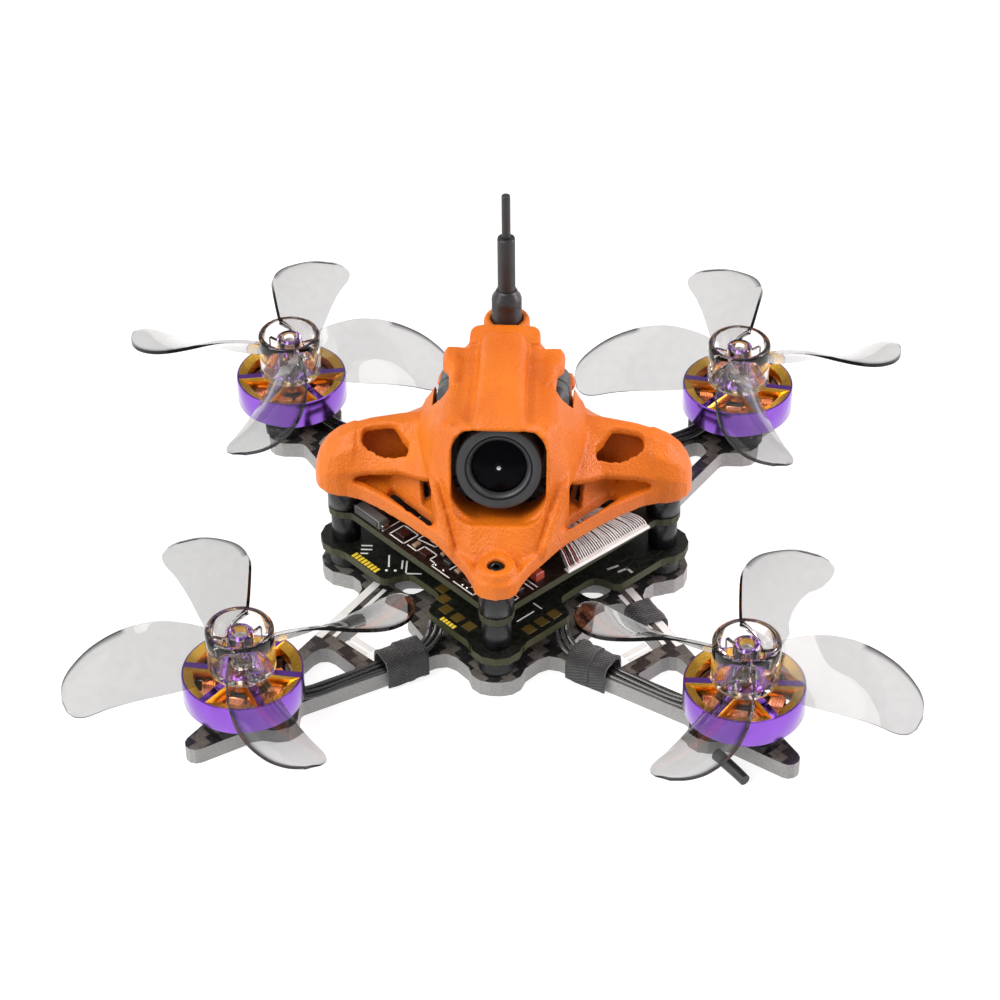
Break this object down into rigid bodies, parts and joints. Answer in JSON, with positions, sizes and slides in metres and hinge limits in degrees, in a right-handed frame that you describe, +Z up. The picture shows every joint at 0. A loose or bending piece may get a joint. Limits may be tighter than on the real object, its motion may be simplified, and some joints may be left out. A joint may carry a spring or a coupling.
{
  "type": "fpv racing drone",
  "caption": "Micro quadcopter: carbon plate frame, purple motors with clear four-blade propellers, stacked boards and an orange canopy with a tilted camera and whip antenna.",
  "frame": {"origin": "centre of the carbon plate's underside, midway between the four motors", "axes": "+Z up, -Y towards the drone's front where the lens looks, +X towards the viewer's right when facing the lens"},
  "size_m": [0.0929, 0.0919, 0.045],
  "materials": {
    "carbon_plate": "woven carbon fibre, satin, gray machined edges",
    "lower_board": "black solder mask, gold pads, white print",
    "upper_board": "black solder mask, white print",
    "black_rubber": "smooth black rubber",
    "dark_steel": "dark screws",
    "shaft_steel": "ground steel",
    "socket_steel": "formed sheet",
    "motor_base_black": "black anodised",
    "copper_windings": "enamelled copper wire",
    "purple_bell": "purple anodised with gold cut edges",
    "clear_propeller": "clear polycarbonate",
    "black_wire": "soft black insulation",
    "black_cloth": "fine black cloth tape",
    "orange_canopy": "orange, fine sandy surface",
    "camera_plastic": "dark gray moulded",
    "lens_glass": "coated lens",
    "antenna_plastic": "black sleeve",
    "coax_wire": "thin white, black and red wires",
    "button_plastic": "white",
    "button_housing": "small metal housing"
  },
  "bodies": {
    "airframe": {"antenna_boot": "antenna_plastic", "antenna_rod": "antenna_plastic", "antenna_sleeve": "antenna_plastic", "antenna_tail": "black_wire", "arm_tape_left": "black_cloth", "arm_tape_right": "black_cloth", "boot_button_housing": "button_housing", "camera_pivot_left": "dark_steel", "camera_pivot_right": "dark_steel", "canopy": "orange_canopy", "coax_ribbon": "coax_wire", "flight_controller": "lower_board", "frame_plate": "carbon_plate", "lower_damper_front": "black_rubber", "lower_damper_left": "black_rubber", "lower_damper_rear": "black_rubber", "lower_damper_right": "black_rubber", "lower_spacer_front": "black_rubber", "lower_spacer_left": "black_rubber", "lower_spacer_rear": "black_rubber", "lower_spacer_right": "black_rubber", "motor_base_front_left": "motor_base_black", "motor_base_front_right": "motor_base_black", "motor_base_rear_left": "motor_base_black", "motor_base_rear_right": "motor_base_black", "motor_wires_front_left": "black_wire", "motor_wires_front_right": "black_wire", "motor_wires_rear_left": "black_wire", "motor_wires_rear_right": "black_wire", "stack_screw_front": "dark_steel", "stack_screw_left": "dark_steel", "stack_screw_rear": "dark_steel", "stack_screw_right": "dark_steel", "stator_front_left": "copper_windings", "stator_front_right": "copper_windings", "stator_rear_left": "copper_windings", "stator_rear_right": "copper_windings", "strut_strap": "black_cloth", "upper_spacer_front": "black_rubber", "upper_spacer_left": "black_rubber", "upper_spacer_rear": "black_rubber", "upper_spacer_right": "black_rubber", "usb_socket": "socket_steel", "video_board": "upper_board"},
    "rotor_front_left": {"bell_front_left": "purple_bell", "shaft_front_left": "shaft_steel", "propeller_front_left": "clear_propeller"},
    "rotor_front_right": {"bell_front_right": "purple_bell", "shaft_front_right": "shaft_steel", "propeller_front_right": "clear_propeller"},
    "rotor_rear_left": {"bell_rear_left": "purple_bell", "shaft_rear_left": "shaft_steel", "propeller_rear_left": "clear_propeller"},
    "rotor_rear_right": {"bell_rear_right": "purple_bell", "shaft_rear_right": "shaft_steel", "propeller_rear_right": "clear_propeller"},
    "camera": {"camera_body": "camera_plastic", "lens_barrel": "camera_plastic", "lens_glass": "lens_glass"},
    "boot_key": {"boot_button": "button_plastic"}
  },
  "joints": [
    {"name": "spin_front_left", "type": "hinge", "parent": "airframe", "child": "rotor_front_left", "pos_m": [-0.0269, -0.0269, 0.006], "axis": [0, 0, 1], "continuous": true},
    {"name": "spin_front_right", "type": "hinge", "parent": "airframe", "child": "rotor_front_right", "pos_m": [0.0269, -0.0269, 0.006], "axis": [0, 0, 1], "continuous": true},
    {"name": "spin_rear_left", "type": "hinge", "parent": "airframe", "child": "rotor_rear_left", "pos_m": [-0.0269, 0.0269, 0.006], "axis": [0, 0, 1], "continuous": true},
    {"name": "spin_rear_right", "type": "hinge", "parent": "airframe", "child": "rotor_rear_right", "pos_m": [0.0269, 0.0269, 0.006], "axis": [0, 0, 1], "continuous": true},
    {"name": "camera_tilt", "type": "hinge", "parent": "airframe", "child": "camera", "pos_m": [0, 0.0011, 0.0197], "axis": [-1, 0, 0], "range_deg": [-5, 0]},
    {"name": "boot_press", "type": "slide", "parent": "airframe", "child": "boot_key", "axis": [0, 0, -1], "range_m": [0, 0.0003], "stiffness_N_per_m": 400}
  ]
}
